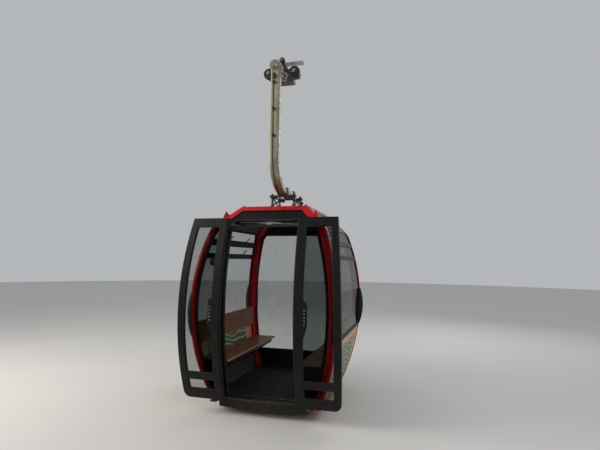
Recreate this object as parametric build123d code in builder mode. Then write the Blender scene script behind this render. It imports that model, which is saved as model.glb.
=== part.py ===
from build123d import *
from math import sqrt
import os

os.makedirs("parts", exist_ok=True)

# Frame: the origin is on the haul rope's axis, where the grip clamps it. X is
# the way of travel, -Y is the door side, +Z is up. Sizes are in millimetres.
# Heights on the cabin are measured from the underside of its floor.
rope_height = 4000
rope_radius = 21

# Body: seen along X or Y it is one bowed hoop, widest at the waist
waist_x = 830
waist_y = 930
waist_height = 1080
bow_radius = 2700
shoulder_height = 1980
shoulder_radius = 220
roof_draw_in = 415
roof_height = 2240
body_low = 50
corner_radius = 60
inner_corner_radius = 26

# Painted frame of posts and rings
frame_depth = 48
post_width = 78
rim_height = 54
roof_joint = 2040
roof_rim = 70
floor_rim = 90
lug_radius = 15
lug_height = 18
bumper_levels = (760, 1240)
bumper_thick = 36
bumper_edge = 8
bumper_wrap = 105
bumper_door_inset = 2

# Walls and glass between the posts, as depths inside the skin
wall_outer = 8
wall_inner = 30
glass_outer = 13
glass_inner = 21
window_border = 28
lower_panel_top = 745
back_window = (340, 1972)
end_windows = ((777, 1630), (1668, 1800), (1838, 1985))

# Doorway and door leaves, stored open
doorway_half = 405
doorway_top = 2060
side_window = (340, 1950)
side_window_inner = 447
leaf_gap = 62
leaf_corner_radius = 75
leaf_depth = 44
leaf_bottom = 108
leaf_top = 2075
leaf_inner_edge = 412
leaf_outer_edge = (868, 893, 825)
leaf_stile = 72
leaf_inner_stile = 84
leaf_windows = ((215, 325), (400, 1975))
leaf_glass_outer = 92
leaf_glass_inner = 84
lock_cover = ((-5, 800), (44, 960), (40, 1185), (-5, 1215))
upper_arm_level = 1996
upper_arm_edges = (330, 372, 480)
upper_arm_foot = 52
lower_arm_level = 78
lower_arm_width = 70
lower_arm_tab = (54, 28)
leaf_arm_thickness = 14

# Floor, benches and ceiling
floor_top = 118
mat_thickness = 6
threshold_bottom = 6
threshold_half = 500
threshold_front = 812
threshold_bow = 40
threshold_back = 680
threshold_chamfer = 22
mat_length = 1400
bench_front = 395
bench_top = 520
seat_thickness = 26
seat_pitch = 385
seat_groove = (6, 4)
kick_plate = 6
bracket_places = (-540, 0, 540)
bracket_root = 640
bracket_low = 300
stay_places = (-580, -190, 190, 580)
backrest_band = (690, 925)
backrest_depth = (48, 80)
backrest_slot = (755, 940)
slot_half = 12
seats_per_bench = 4
ceiling_height = 2085
ceiling_thickness = 14
bracket_half = 15
bench_rail = (30, 34)
bench_rail_half = 700
backrest_stay = (46, 150)
door_rail_y = 596
door_rail_half = 440
door_rail_level = 2032
door_rail_section = (40, 64)
door_rail_groove = (16, 20)
rail_bracket_level = 2040
rail_bracket_size = (150, 40, 12)

# Roof panel and the hanger that stands on it
roof_panel_thickness = 20
roof_rib_height = 5
roof_rib_width = 46
roof_rib_y = 285
buffer_radius = 30
buffer_height = 34
rod_radius = 13
brace = (10, 18, 18)
head_plate = (340, 62, 16)
foot_plate = (40, 360, 12)
cheek = (10, 44)
arm_y = -500
arm_width = 112
arm_thickness = 88
arm_bend = 350
beam_height = 2462
beam_end_y = 215
mast_x = 140
mast_y = 150
pivot_z = -72
axle_radius = 32
axle_clearance = 0.05
hub_radius = 62
hub_length = 130
arm_corner = 20
cable_radius = 7
clip_size = (30, 24)
gland_size = (34, 46)
clip_depth = 48
cable_offset = 36
cable_top = -230
cable_turns = 4
cable_bends = (370, 370, 370, 250, 60, 120, 50)
clip_levels = (-300, -620, -940)

# Grip
jaw_pivot = (-62, 52)
jaw_pin_radius = 17
jaw_hub_radius = 34
jaw_half = 46
jaw_rim = 43
jaw_gap = 2
fixed_jaw_top = 23
moving_jaw_bottom = 12
jaw_bridge = (-58, 25, -14, 63)
lever_reach = 255
lever_height = 108
lever_half = 20
lever_root = ((0, 33), (-20, -25))
lever_tip_half = 15
lever_eye_radius = 24
lever_roller_radius = 34
lever_roller_width = 31
lever_axle_radius = 11
lever_nut = (17, 8)
roller_x = 165
roller_y = 285
roller_z = -60
roller_radius = 68
roller_width = 46
roller_recess = (28, 52, 7)
roller_edge = 8
roller_gap = 2
axle_small = 16
axle_shoulder = 26
axle_nut = 12
grip_half = 112
grip_block = (-144, -127, -40, -17)
grip_neck = (-100, -50, -24, 10)
knuckle_margin = 4
knuckle_low = -32
jaw_room = (4, 80)
grip_beam_y = 144
grip_beam_depth = 42
grip_beam_height = 84
grip_beam_end = 45
grip_beam_corner = 24
drive_plate_size = (460, 116, 14)
drive_plate_y = -78
drive_plate_low = 138
plate_post = (34, 44)
plate_post_x = 80
axle_flange = (56, 18)
axle_collar = (52, 13)
axle_nut_radius = 40

SIDES = (("left", -1), ("right", 1))


def level(height):
    """Z of a height above the underside of the floor."""
    return height - rope_height


def half_width(waist, height, offset_out=0.0):
    """Half the body's width at a height, on its bowed side."""
    rise = height - waist_height
    return waist - bow_radius + sqrt((bow_radius + offset_out) ** 2 - rise**2)


def hoop(waist, inset=0.0, reach=0.0):
    """The body's outline seen along X or Y, drawn a distance inside its skin.

    Its top and bottom lie beyond the body's by the reach before the inset."""
    low = body_low - reach
    shoulder_x = half_width(waist, shoulder_height)
    slope = (shoulder_x - waist + roof_draw_in) / (roof_height - shoulder_height)
    with BuildSketch() as outline:
        with BuildLine():
            side = ThreePointArc(
                (half_width(waist, low), level(low)),
                (waist, level(waist_height)),
                (shoulder_x, level(shoulder_height)),
            )
            roof_edge = (waist - roof_draw_in - slope * reach, level(roof_height + reach))
            shoulder = Line(side @ 1, roof_edge)
            Line(shoulder @ 1, (0, level(roof_height + reach)))
            Line((0, level(low)), side @ 0)
            mirror(about=Plane.YZ)
        make_face()
        corners = outline.vertices().filter_by_position(
            Axis.Y, level(shoulder_height) - 1, level(shoulder_height) + 1
        )
        fillet(corners, radius=shoulder_radius)
        if inset:
            offset(amount=-inset, kind=Kind.INTERSECTION, mode=Mode.REPLACE)
    return outline.sketch


def block(low_x, low_y, high_x, high_y):
    """A rectangle between two of its corners."""
    with BuildSketch() as shape:
        with Locations(((low_x + high_x) / 2, (low_y + high_y) / 2)):
            Rectangle(high_x - low_x, high_y - low_y)
    return shape.sketch


def storey(low, high, inner=-1200, outer=1200):
    """A level stripe between two heights, to cut a wall to its own part."""
    return block(inner, level(low), outer, level(high))


def barrel(inset, radius):
    """The doubly bowed body: two crossed hoops with rounded mitres."""
    offset_between = waist_y - waist_x
    with BuildPart() as body:
        with BuildSketch(Plane.XZ):
            add(hoop(waist_x, inset))
        extrude(amount=waist_y + 100, both=True)
        with BuildSketch(Plane.YZ):
            add(hoop(waist_y, inset))
        extrude(amount=waist_x + 100, both=True, mode=Mode.INTERSECT)
        mitres = [
            edge
            for edge in body.edges()
            if abs(abs((edge @ 0).Y) - abs((edge @ 0).X) - offset_between) < 0.5
            and abs(abs((edge @ 1).Y) - abs((edge @ 1).X) - offset_between) < 0.5
            and abs((edge @ 0).Z - (edge @ 1).Z) > 1
        ]
        fillet(mitres, radius=radius)
    return body.part


def end_slice(sign, depth, regions, holes=()):
    """A piece of an end wall: a layer of the bow, cut to an outline seen along X."""
    with BuildPart() as piece:
        with BuildSketch(Plane.XZ):
            add(hoop(waist_x, depth[0]))
            add(hoop(waist_x, depth[1]), mode=Mode.SUBTRACT)
        extrude(amount=waist_y, both=True)
        with BuildSketch(Plane.YZ.offset(sign * 300)):
            for region in regions:
                add(region)
        extrude(amount=sign * waist_x, mode=Mode.INTERSECT)
        if holes:
            with BuildSketch(Plane.YZ.offset(sign * 300)):
                for hole in holes:
                    add(hole)
            extrude(amount=sign * waist_x, mode=Mode.SUBTRACT)
    return piece.part


def side_slice(sign, depth, regions, holes=()):
    """A piece of the door or back wall, cut to an outline seen along Y."""
    with BuildPart() as piece:
        with BuildSketch(Plane.YZ):
            add(hoop(waist_y, depth[0]))
            add(hoop(waist_y, depth[1]), mode=Mode.SUBTRACT)
        extrude(amount=waist_x, both=True)
        with BuildSketch(Plane.XZ.offset(-sign * 300)):
            for region in regions:
                add(region)
        extrude(amount=-sign * waist_y, mode=Mode.INTERSECT)
        if holes:
            with BuildSketch(Plane.XZ.offset(-sign * 300)):
                for hole in holes:
                    add(hole)
            extrude(amount=-sign * waist_y, mode=Mode.SUBTRACT)
    return piece.part


def keep(part, name):
    """Label a finished piece and write it."""
    part.label = name
    export_step(part, f"parts/{name}.step")


def outline_of(waist, inset, low, high, inner=-1200, outer=1200):
    """The part of a hoop's outline between two heights and two edges."""
    with BuildSketch() as region:
        add(hoop(waist, inset, rim_reach))
        add(storey(low, high, inner, outer), mode=Mode.INTERSECT)
    return region.sketch


rim_reach = post_width - rim_height
opening_low = body_low + rim_height
opening_high = roof_height - rim_height
window_inset = post_width + window_border
wall_layer = (wall_outer, wall_inner)
glass_layer = (glass_outer, glass_inner)
roof_hole = [2 * (waist - roof_draw_in - roof_rim) for waist in (waist_x, waist_y)]
floor_hole = [2 * (half_width(waist, body_low) - floor_rim) for waist in (waist_x, waist_y)]

# Cage of red posts and rings: the barrel hollowed and opened on every side
core = barrel(frame_depth, inner_corner_radius)
with BuildPart() as cage:
    add(barrel(0, corner_radius))
    add(core, mode=Mode.SUBTRACT)
    with BuildSketch(Plane.XZ):
        add(hoop(waist_x, post_width, rim_reach))
    extrude(amount=waist_y + 100, both=True, mode=Mode.SUBTRACT)
    with BuildSketch(Plane.YZ):
        add(hoop(waist_y, post_width, rim_reach))
    extrude(amount=waist_x + 100, both=True, mode=Mode.SUBTRACT)
    with BuildSketch(Plane.XY.offset(level(roof_height))):
        Rectangle(*roof_hole)
    extrude(amount=-frame_depth, mode=Mode.SUBTRACT)
    with BuildSketch(Plane.XY.offset(level(body_low))):
        Rectangle(*floor_hole)
    extrude(amount=frame_depth, mode=Mode.SUBTRACT)

with BuildPart() as floor_ring:
    add(cage.part)
    split(bisect_by=Plane.XY.offset(level(opening_low)), keep=Keep.BOTTOM)
keep(floor_ring.part, "floor_ring")

# The roof ring takes in the shoulders, and has guide lugs at its corners
lug_x = waist_x - roof_draw_in - roof_rim / 2
lug_y = waist_y - roof_draw_in - roof_rim / 2
with BuildPart() as roof_ring:
    add(cage.part)
    split(bisect_by=Plane.XY.offset(level(roof_joint)), keep=Keep.TOP)
    with BuildSketch(Plane.XY.offset(level(roof_height))):
        with GridLocations(2 * lug_x, 2 * lug_y, 2, 2):
            Circle(lug_radius)
    extrude(amount=lug_height, taper=14)
keep(roof_ring.part, "roof_ring")

with BuildPart() as posts:
    add(cage.part)
    split(bisect_by=Plane.XY.offset(level(opening_low)), keep=Keep.TOP)
    split(bisect_by=Plane.XY.offset(level(roof_joint)), keep=Keep.BOTTOM)
for side, sign in SIDES:
    for end, end_side in (("door", Keep.TOP), ("back", Keep.BOTTOM)):
        with BuildPart() as post:
            add(posts.part)
            split(bisect_by=Plane.YZ, keep=Keep.TOP if sign > 0 else Keep.BOTTOM)
            split(bisect_by=Plane.XZ, keep=end_side)
        keep(post.part, f"post_{end}_{side}")

# Black bumpers moulded round the posts, thickest at their middle. The leaves slide
# over the door side, so there they end at the corner


def bumper_belt(waist, swells):
    """The bumpers' outline seen along X or Y, as one belt, with each side's swell."""
    low, high = bumper_levels
    heights = (low, (low + high) / 2, high)
    with BuildSketch() as belt:
        for way, swell in zip((-1, 1), swells):
            with BuildLine():
                face = ThreePointArc(
                    *[(way * (half_width(waist, h) + out), level(h)) for h, out in zip(heights, swell)]
                )
                Polyline(face @ 1, (0, level(high)), (0, level(low)), face @ 0)
            make_face()
    return belt.sketch


swollen = (bumper_edge, bumper_thick, bumper_edge)
flush = [-bumper_door_inset] * 3
with BuildPart() as bumpers:
    with BuildSketch(Plane.XZ):
        add(bumper_belt(waist_x, (swollen, swollen)))
    extrude(amount=2 * waist_y, both=True)
    with BuildSketch(Plane.YZ):
        add(bumper_belt(waist_y, (flush, swollen)))
    extrude(amount=2 * waist_x, both=True, mode=Mode.INTERSECT)
    tall = bumper_levels[1] - bumper_levels[0]
    mitres = [e for e in bumpers.edges() if abs((e @ 0).Z - (e @ 1).Z) > tall - 1]
    fillet(mitres, radius=corner_radius + bumper_edge)
    with BuildSketch(Plane.XY.offset(level(bumper_levels[0]))):
        with GridLocations(2 * waist_x, 2 * waist_y, 2, 2):
            Rectangle(2 * bumper_wrap, 2 * bumper_wrap)
    extrude(amount=tall, mode=Mode.INTERSECT)
    add(barrel(0, corner_radius), mode=Mode.SUBTRACT)
print("bumpers", [round(solid.volume) for solid in bumpers.solids()])
keep(bumpers.part, "post_bumpers")

# End walls: perforated black frame, main glass, two vent rows, printed panel
window_shapes = [outline_of(waist_y, window_inset, low, high) for low, high in end_windows]
for side, sign in SIDES:
    frame_region = outline_of(waist_y, post_width, lower_panel_top, opening_high)
    keep(end_slice(sign, wall_layer, [frame_region], window_shapes), f"end_frame_{side}")
    keep(end_slice(sign, glass_layer, [window_shapes[0]]), f"end_glass_{side}")
    keep(end_slice(sign, glass_layer, window_shapes[1:]), f"vent_glass_{side}")
    panel_region = outline_of(waist_y, post_width, opening_low, lower_panel_top)
    keep(end_slice(sign, wall_layer, [panel_region]), f"end_panel_{side}")

# Back wall: one frame round one tall pane
back_region = outline_of(waist_x, post_width, opening_low, opening_high)
back_pane = outline_of(waist_x, window_inset, *back_window)
keep(side_slice(1, wall_layer, [back_region], [back_pane]), "back_frame")
keep(side_slice(1, glass_layer, [back_pane]), "back_glass")

# Door side: portal round the doorway, with a fixed pane each side of it
doorway = storey(0, doorway_top, -doorway_half, doorway_half)
side_panes = [
    outline_of(waist_x, window_inset, *side_window, *edges)
    for edges in ((-1200, -side_window_inner), (side_window_inner, 1200))
]
keep(side_slice(-1, wall_layer, [back_region], [doorway] + side_panes), "door_portal")
keep(side_slice(-1, glass_layer, side_panes), "side_glass")


def leaf_outline(sign, inset=0.0):
    """A leaf seen along Y: upright inner edge, bowed outer edge."""
    heights = (leaf_bottom, waist_height, leaf_top)
    low, middle, high = [
        (sign * edge, level(height)) for edge, height in zip(leaf_outer_edge, heights)
    ]
    with BuildSketch() as outline:
        with BuildLine():
            bow = ThreePointArc(low, middle, high)
            Polyline(
                bow @ 1,
                (sign * leaf_inner_edge, level(leaf_top)),
                (sign * leaf_inner_edge, level(leaf_bottom)),
                bow @ 0,
            )
        make_face()
        outer_bottom = outline.vertices().group_by(Axis.Y)[0].sort_by(Axis.X)
        fillet(outer_bottom[-1] if sign > 0 else outer_bottom[0], radius=leaf_corner_radius)
        if inset:
            offset(amount=-inset, kind=Kind.INTERSECTION, mode=Mode.REPLACE)
    return outline.sketch


def leaf_layer(inner, outer):
    """A bowed layer outside the skin of the door side, seen along X."""
    heights = (leaf_bottom - 40, waist_height, leaf_top + 40)
    with BuildSketch() as layer:
        with BuildLine():
            near = ThreePointArc(*[(-half_width(waist_y, h, inner), level(h)) for h in heights])
            far = ThreePointArc(*[(-half_width(waist_y, h, outer), level(h)) for h in heights])
            Line(near @ 0, far @ 0)
            Line(near @ 1, far @ 1)
        make_face()
    return layer.sketch


def leaf_slice(sign, inner, outer, region, holes=None):
    """A piece of a leaf: a bowed layer cut to an outline seen along Y."""
    with BuildPart() as piece:
        with BuildSketch(Plane.YZ):
            add(leaf_layer(inner, outer))
        extrude(amount=1000, both=True)
        with BuildSketch(Plane.XZ.offset(400)):
            add(region)
        extrude(amount=900, mode=Mode.INTERSECT)
        if holes:
            with BuildSketch(Plane.XZ.offset(400)):
                add(holes)
            extrude(amount=900, mode=Mode.SUBTRACT)
    return piece.part


def leaf_panes(sign):
    """Openings of a leaf, with the lock cover left standing on its inner stile."""
    stile = leaf_inner_edge + leaf_inner_stile
    with BuildSketch() as rows:
        for low, high in leaf_windows:
            add(storey(low, high, *sorted((sign * stile, sign * 1200))))
    with BuildSketch() as panes:
        add(leaf_outline(sign, leaf_stile))
        add(rows.sketch, mode=Mode.INTERSECT)
        with BuildLine():
            cover = [(sign * (stile + out), level(height)) for out, height in lock_cover]
            Polyline(*cover, close=True)
        make_face(mode=Mode.SUBTRACT)
    return panes.sketch


leaf_frames = {}
for side, sign in SIDES:
    panes = leaf_panes(sign)
    leaf = leaf_slice(sign, leaf_gap, leaf_gap + leaf_depth, leaf_outline(sign), panes)
    leaf_frames[side] = leaf
    keep(leaf, f"leaf_frame_{side}")
    keep(leaf_slice(sign, leaf_glass_inner, leaf_glass_outer, panes), f"leaf_glass_{side}")

# Floor pan, mat and the bowed threshold that stands out under the doorway
with BuildPart() as floor_slab:
    add(core)
    split(bisect_by=Plane.XY.offset(level(floor_top)), keep=Keep.BOTTOM)

with BuildPart() as floor_pan:
    with BuildSketch(Plane.XY.offset(level(body_low + wall_outer))):
        Rectangle(*floor_hole)
    extrude(amount=frame_depth - wall_outer)
    add(floor_slab.part)
keep(floor_pan.part, "floor_pan")

with BuildPart() as floor_mat:
    with BuildSketch(Plane.XY.offset(level(floor_top))):
        Rectangle(2 * bench_front + 30, mat_length)
    extrude(amount=mat_thickness)
keep(floor_mat.part, "floor_mat")

with BuildPart() as threshold:
    with BuildSketch(Plane.XY.offset(level(threshold_bottom))):
        with BuildLine():
            back = Line((threshold_half, -threshold_back), (-threshold_half, -threshold_back))
            corners = [(x, threshold_bow - threshold_front) for x in (-threshold_half, threshold_half)]
            ThreePointArc(corners[0], (0, -threshold_front), corners[1])
            Line(back @ 1, corners[0])
            Line(corners[1], back @ 0)
        make_face()
    extrude(amount=floor_top - threshold_bottom)
    lower_nose = threshold.edges().group_by(Axis.Z)[0].sort_by(Axis.Y)[0]
    chamfer(lower_nose, length=threshold_chamfer)
    add(cage.part, mode=Mode.SUBTRACT)
    add(floor_pan.part, mode=Mode.SUBTRACT)
    add(side_slice(-1, wall_layer, [back_region], [doorway]), mode=Mode.SUBTRACT)
keep(threshold.part, "threshold")

# Benches on the end walls: seat, slotted backrest, cantilever brackets
inside = barrel(wall_inner, inner_corner_radius)
seat_bottom = bench_top - seat_thickness
seat_gaps = [(gap - seats_per_bench / 2) * seat_pitch for gap in range(1, seats_per_bench)]
for side, sign in SIDES:
    seat_edges = sorted((sign * bench_front, sign * waist_x))
    with BuildPart() as seat:
        with BuildSketch(Plane.XY.offset(level(seat_bottom))):
            with Locations(((seat_edges[0] + seat_edges[1]) / 2, 0)):
                Rectangle(seat_edges[1] - seat_edges[0], 2 * waist_y)
        extrude(amount=seat_thickness)
        with BuildSketch(Plane.XY.offset(level(bench_top))):
            for gap in seat_gaps:
                with Locations((sign * waist_x, gap)):
                    Rectangle(2 * (waist_x - bench_front) - 60, seat_groove[0])
        extrude(amount=-seat_groove[1], mode=Mode.SUBTRACT)
        add(barrel(frame_depth + 12, inner_corner_radius), mode=Mode.INTERSECT)
        nose = seat.edges().filter_by(Axis.Y).group_by(Axis.X)[0 if sign > 0 else -1]
        fillet(nose, radius=seat_thickness * 0.45)
    keep(seat.part, f"bench_seat_{side}")

    slots = [storey(*backrest_slot, gap - slot_half, gap + slot_half) for gap in seat_gaps]
    rest = outline_of(waist_y, post_width + 14, *backrest_band)
    keep(end_slice(sign, backrest_depth, [rest], slots), f"backrest_{side}")

    with BuildPart() as brackets:
        for y in bracket_places:
            with BuildSketch(Plane.XZ.offset(-y)):
                with BuildLine():
                    Polyline(
                        (sign * (bench_front + 12), level(seat_bottom)),
                        (sign * (bench_front + 12), level(seat_bottom - bench_rail[1])),
                        (sign * bracket_root, level(bracket_low)),
                        (sign * waist_x, level(bracket_low)),
                        (sign * waist_x, level(seat_bottom)),
                        close=True,
                    )
                make_face()
            extrude(amount=bracket_half, both=True)
        with BuildSketch(Plane.XZ):
            with Locations((sign * (bench_front + 27), level(seat_bottom - bench_rail[1] / 2))):
                Rectangle(*bench_rail)
        extrude(amount=bench_rail_half, both=True)
        add(inside, mode=Mode.INTERSECT)
        kick_region = outline_of(waist_y, post_width + 20, floor_top + mat_thickness, seat_bottom)
        add(end_slice(sign, (wall_inner, wall_inner + kick_plate), [kick_region]))
    keep(brackets.part, f"bench_bracket_{side}")

    with BuildPart() as stays:
        add(inside)
        with BuildSketch(Plane.YZ.offset(sign * 500)):
            for y in stay_places:
                with Locations((y, level(sum(backrest_band) / 2))):
                    Rectangle(*backrest_stay)
        extrude(amount=sign * 500, mode=Mode.INTERSECT)
        add(barrel(backrest_depth[0], inner_corner_radius), mode=Mode.SUBTRACT)
    keep(stays.part, f"backrest_stays_{side}")

# Ceiling lining and the door mechanism under it
with BuildPart() as ceiling:
    add(core)
    split(bisect_by=Plane.XY.offset(level(ceiling_height)), keep=Keep.TOP)
    split(bisect_by=Plane.XY.offset(level(ceiling_height + ceiling_thickness)), keep=Keep.BOTTOM)
keep(ceiling.part, "ceiling")

with BuildPart() as door_rail:
    with BuildSketch(Plane.YZ):
        with Locations((-door_rail_y, level(door_rail_level))):
            Rectangle(*door_rail_section)
        with Locations((-door_rail_y - 12, level(door_rail_level - 14))):
            Rectangle(*door_rail_groove, mode=Mode.SUBTRACT)
    extrude(amount=door_rail_half, both=True)
keep(door_rail.part, "door_rail")

with BuildPart() as rail_bracket:
    with BuildSketch(Plane.XZ.offset(door_rail_y + door_rail_section[0] / 2)):
        with Locations((0, level(rail_bracket_level))):
            Trapezoid(rail_bracket_size[0], rail_bracket_size[1], 60, rotation=180)
    extrude(amount=rail_bracket_size[2])
keep(rail_bracket.part, "rail_bracket")

# Arms that carry each leaf: one from the rail, one from the threshold's end
for side, sign in SIDES:
    upper_reach = half_width(waist_y, upper_arm_level, leaf_gap) + 6
    lower_reach = half_width(waist_y, leaf_bottom, leaf_gap + leaf_depth) - 8
    inner, outer, foot = [sign * edge for edge in upper_arm_edges]
    rail_face = door_rail_y + door_rail_section[0] / 2
    with BuildPart() as arms:
        with BuildSketch(Plane.XY.offset(level(upper_arm_level))):
            add(block(min(inner, outer), -upper_reach, max(inner, outer), -rail_face))
            add(block(min(inner, foot), -upper_reach, max(inner, foot), upper_arm_foot - upper_reach))
        extrude(amount=leaf_arm_thickness)
        plate_x = sign * (threshold_half + lower_arm_width / 2)
        plate_start = threshold_back + 30
        with BuildSketch(Plane.XY.offset(level(lower_arm_level))):
            with Locations((plate_x, -(lower_reach + plate_start) / 2)):
                Rectangle(lower_arm_width, lower_reach - plate_start)
        extrude(amount=leaf_arm_thickness)
        with BuildSketch(Plane.XY.offset(level(lower_arm_level))):
            with Locations((plate_x, lower_arm_tab[1] / 2 - lower_reach)):
                Rectangle(*lower_arm_tab)
        extrude(amount=leaf_bottom - lower_arm_level + leaf_arm_thickness)
        add(leaf_frames[side], mode=Mode.SUBTRACT)
        add(cage.part, mode=Mode.SUBTRACT)
    keep(arms.part, f"leaf_arms_{side}")

# Roof panel and the feet of the hanger's mast
with BuildPart() as roof_panel:
    with BuildSketch(Plane.XY.offset(level(roof_height - roof_panel_thickness))):
        Rectangle(*roof_hole)
    extrude(amount=roof_panel_thickness)
    with BuildSketch(Plane.XY.offset(level(roof_height))):
        with GridLocations(0, 2 * roof_rib_y, 1, 2):
            SlotOverall(roof_hole[0] - roof_rim, roof_rib_width)
        SlotOverall(roof_hole[0] - roof_rim, roof_rib_width)
    extrude(amount=roof_rib_height, taper=30)
keep(roof_panel.part, "roof_panel")

mast_foot = roof_height + buffer_height
mast_top = beam_height - arm_thickness / 2
with BuildPart() as buffers:
    with BuildSketch(Plane.XY.offset(level(roof_height))):
        with GridLocations(2 * mast_x, 2 * mast_y, 2, 2):
            Circle(buffer_radius)
    extrude(amount=buffer_height)
keep(buffers.part, "buffers")

with BuildPart() as mast:
    with BuildSketch(Plane.XY.offset(level(mast_foot))):
        with GridLocations(2 * mast_x, 2 * mast_y, 2, 2):
            Circle(rod_radius)
    extrude(amount=mast_top - mast_foot)
    with BuildSketch(Plane.XY.offset(level(mast_top - head_plate[2]))):
        with GridLocations(0, 2 * mast_y, 1, 2):
            Rectangle(*head_plate[:2])
    extrude(amount=head_plate[2])
    with BuildSketch(Plane.XY.offset(level(mast_top))):
        with GridLocations(arm_width + cheek[0], 2 * mast_y, 2, 2):
            Rectangle(cheek[0], head_plate[1])
    extrude(amount=cheek[1])
    with BuildSketch(Plane.XY.offset(level(mast_foot))):
        with GridLocations(2 * mast_x, 0, 2, 1):
            Rectangle(*foot_plate[:2])
    extrude(amount=foot_plate[2])
    for x in (-mast_x, mast_x):
        with BuildSketch(Plane.YZ.offset(x - brace[0] / 2)):
            with Locations((0, level((mast_foot + mast_top) / 2))):
                for angle in (-brace[2], brace[2]):
                    Rectangle(2 * mast_y, brace[1], rotation=angle)
        extrude(amount=brace[0])
keep(mast.part, "mast")

# Hanger arm: one bent box tube from the grip's axle to the beam over the roof
with BuildPart() as hanger_arm:
    with BuildLine(Plane.YZ) as arm_path:
        drop = Line((arm_y, pivot_z), (arm_y, level(beam_height) + arm_bend))
        bend = JernArc(start=drop @ 1, tangent=drop % 1, radius=arm_bend, arc_size=90)
        Line(bend @ 1, (beam_end_y, level(beam_height)))
    with BuildSketch(Plane.XY.offset(pivot_z)):
        with Locations((0, arm_y)):
            RectangleRounded(arm_width, arm_thickness, arm_corner)
    sweep(path=arm_path.wire())
    with BuildSketch(Plane.XZ.offset(-arm_y - hub_length / 2)):
        with Locations((0, pivot_z)):
            Circle(hub_radius)
    extrude(amount=hub_length)
    with BuildSketch(Plane.XZ.offset(-arm_y - hub_length)):
        with Locations((0, pivot_z)):
            Circle(axle_radius + axle_clearance)
    extrude(amount=2 * hub_length, mode=Mode.SUBTRACT)
keep(hanger_arm.part, "hanger_arm")

# Black control cable held along the arm's outer side, then down to the roof
cable_y = arm_y - arm_thickness / 2 - cable_offset
bend_middle = (arm_y + arm_bend, level(beam_height) + arm_bend)
cable_bend = bend_middle[0] - cable_y
cable_points = [(0, cable_y, cable_top)]
for turn in range(cable_turns):
    angle = 90 / cable_turns * turn
    down = Vector(cable_bend, 0).rotate(Axis.Z, angle)
    cable_points.append((0, bend_middle[0] - down.X, bend_middle[1] - down.Y))
cable_points += [
    (60, -190, level(2366)),
    (165, -205, level(2352)),
    (240, -226, level(2312)),
    (240, -226, level(roof_height)),
]
with BuildPart() as control_cable:
    with BuildLine() as cable_path:
        FilletPolyline(*cable_points, radius=cable_bends)
    with BuildSketch(Plane(origin=cable_points[0], z_dir=(0, 0, -1))):
        Circle(cable_radius)
    sweep(path=cable_path.wire())
print("control cable", round(cable_path.wire().length), "mm long, bends", cable_bends)
keep(control_cable.part, "control_cable")

# Clips round the cable, and the gland that it enters at its top
clip_y = arm_y - arm_thickness / 2 - clip_depth / 2
with BuildPart() as cable_clips:
    for clip_level in clip_levels:
        with BuildSketch(Plane.XY.offset(clip_level)):
            with Locations((0, clip_y)):
                RectangleRounded(clip_size[0], clip_depth, 5)
            with Locations((0, cable_y)):
                Circle(cable_radius + axle_clearance, mode=Mode.SUBTRACT)
        extrude(amount=clip_size[1])
    with BuildSketch(Plane.XY.offset(cable_top)):
        with Locations((0, clip_y)):
            RectangleRounded(gland_size[0], clip_depth, 5)
    extrude(amount=gland_size[1])
keep(cable_clips.part, "cable_clips")

# Grip body: fixed jaw, knuckles for the jaw pin, and the beam with its axles
beam_front = grip_beam_y + grip_beam_depth
knuckle_radius = jaw_hub_radius + knuckle_margin
with BuildPart() as grip_body:
    with BuildSketch(Plane.YZ):
        Circle(jaw_rim)
        add(block(-jaw_rim, -jaw_rim, 0, fixed_jaw_top), mode=Mode.INTERSECT)
        add(block(*grip_block))
        add(block(*grip_neck))
        Circle(rope_radius, mode=Mode.SUBTRACT)
    extrude(amount=grip_half, both=True)
    for x in (-grip_half, jaw_half + jaw_gap):
        with BuildSketch(Plane.YZ.offset(x)):
            with Locations(jaw_pivot):
                Circle(knuckle_radius)
            knuckle_edges = (jaw_pivot[0] - knuckle_radius, jaw_pivot[0] + knuckle_radius)
            add(block(knuckle_edges[0], knuckle_low, knuckle_edges[1], jaw_pivot[1]))
            with Locations(jaw_pivot):
                Circle(jaw_pin_radius, mode=Mode.SUBTRACT)
        extrude(amount=grip_half - jaw_half - jaw_gap)
    with BuildSketch(Plane.YZ):
        with Locations(jaw_pivot):
            Circle(jaw_hub_radius + jaw_gap + 1)
        add(block(-jaw_rim - 10, jaw_room[0], jaw_rim + 10, jaw_room[1]))
    extrude(amount=jaw_half + jaw_gap, both=True, mode=Mode.SUBTRACT)
    with BuildSketch(Plane.XZ.offset(grip_beam_y)):
        with Locations((0, roller_z)):
            RectangleRounded(2 * (roller_x + grip_beam_end), grip_beam_height, grip_beam_corner)
    extrude(amount=grip_beam_depth)
    roller_faces = [roller_y + edge * (roller_width / 2 + roller_gap) for edge in (-1, 1)]
    for radius, start, end in (
        (axle_shoulder, beam_front, roller_faces[0]),
        (axle_small, beam_front, roller_faces[1]),
        (axle_shoulder, roller_faces[1], roller_faces[1] + axle_nut),
    ):
        with BuildSketch(Plane.XZ.offset(start)):
            with Locations((-roller_x, roller_z), (roller_x, roller_z)):
                Circle(radius)
        extrude(amount=end - start)
keep(grip_body.part, "grip_body")

with BuildPart() as jaw_pin:
    with BuildSketch(Plane.YZ.offset(-grip_half - 10)):
        with Locations(jaw_pivot):
            Circle(jaw_pin_radius)
    extrude(amount=2 * grip_half + 20)
keep(jaw_pin.part, "jaw_pin")

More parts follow.
